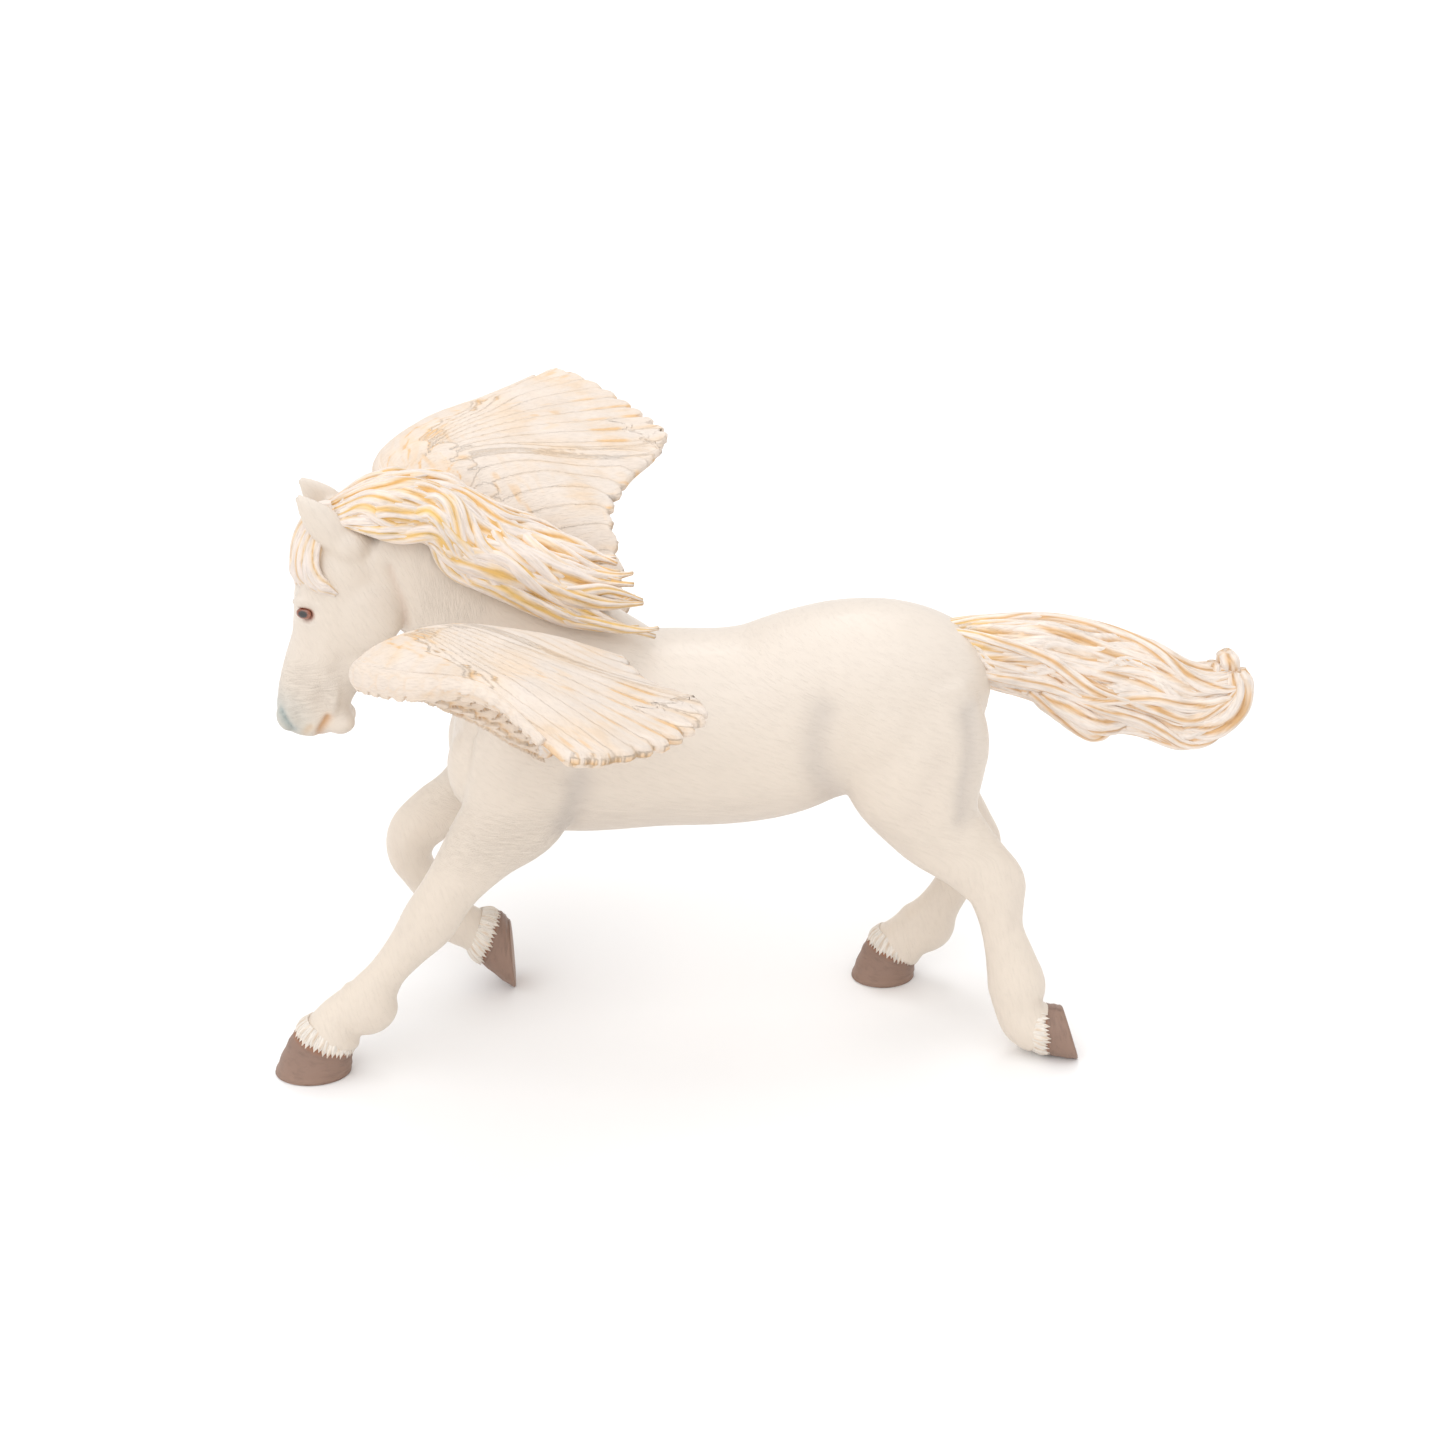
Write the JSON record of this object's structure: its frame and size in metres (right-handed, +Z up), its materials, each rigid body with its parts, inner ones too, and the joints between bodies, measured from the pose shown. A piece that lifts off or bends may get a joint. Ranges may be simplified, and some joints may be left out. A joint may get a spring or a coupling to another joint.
{
  "type": "pegasus figurine",
  "caption": "Winged horse figurine at a gallop, moulded in one piece, with raised feathered wings, flowing mane and tail, standing on its hooves.",
  "frame": {"origin": "centre of the bounding box seen from above, on the plane the hooves stand on", "axes": "+X from the head to the tail, +Y to the figure's right side, +Z up"},
  "size_m": [0.1792, 0.1672, 0.1118],
  "materials": {
    "cream_painted_plastic": "satin"
  },
  "bodies": {
    "root": {"pegasus_figurine": "cream_painted_plastic"}
  },
  "joints": []
}
